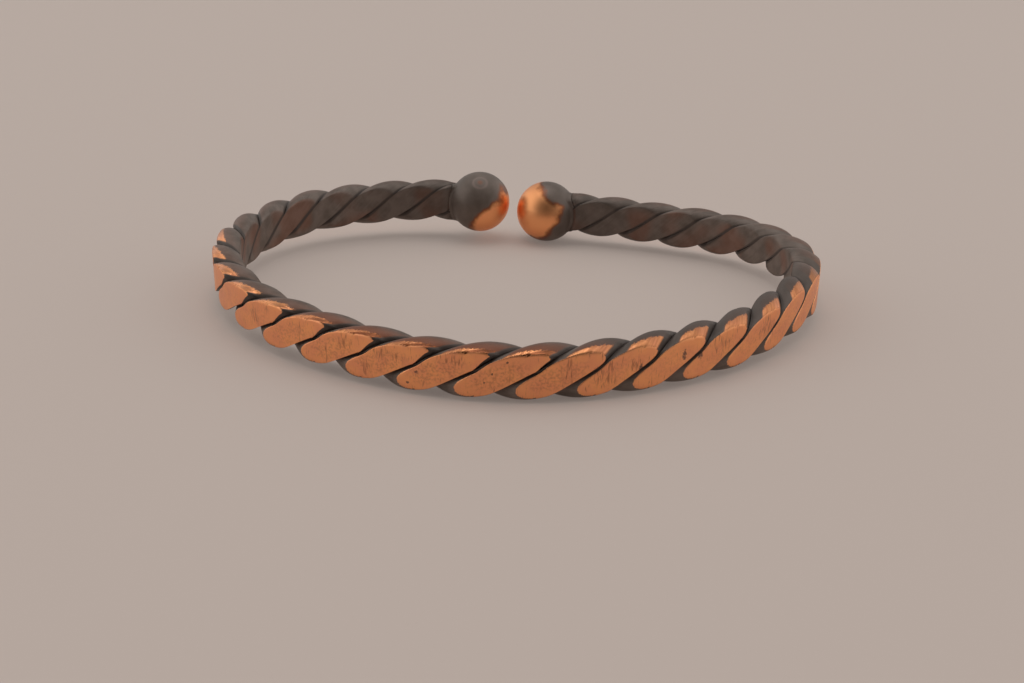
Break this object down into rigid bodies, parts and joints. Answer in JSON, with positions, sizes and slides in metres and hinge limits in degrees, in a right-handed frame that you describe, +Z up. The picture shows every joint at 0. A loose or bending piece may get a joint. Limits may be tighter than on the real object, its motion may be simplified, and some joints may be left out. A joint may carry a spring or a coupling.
{
  "type": "arm cuff",
  "caption": "Open copper arm cuff of twisted strands, flattened on its outer face, with a ball on each end.",
  "frame": {"origin": "on the floor below the middle of the cuff as it lies on its side", "axes": "+Z up, the axis of the wrist hollow; +X the long way across the hollow; +Y towards the opening between the balls"},
  "size_m": [0.0618, 0.051, 0.0079],
  "materials": {
    "strand_copper": "satin copper on the flats, dark patina in the grooves and inside",
    "ball_copper": "polished copper with dark patina"
  },
  "bodies": {
    "root": {"strand_a": "strand_copper", "strand_b": "strand_copper", "strand_c": "strand_copper", "ball_left": "ball_copper", "ball_right": "ball_copper"}
  },
  "joints": []
}
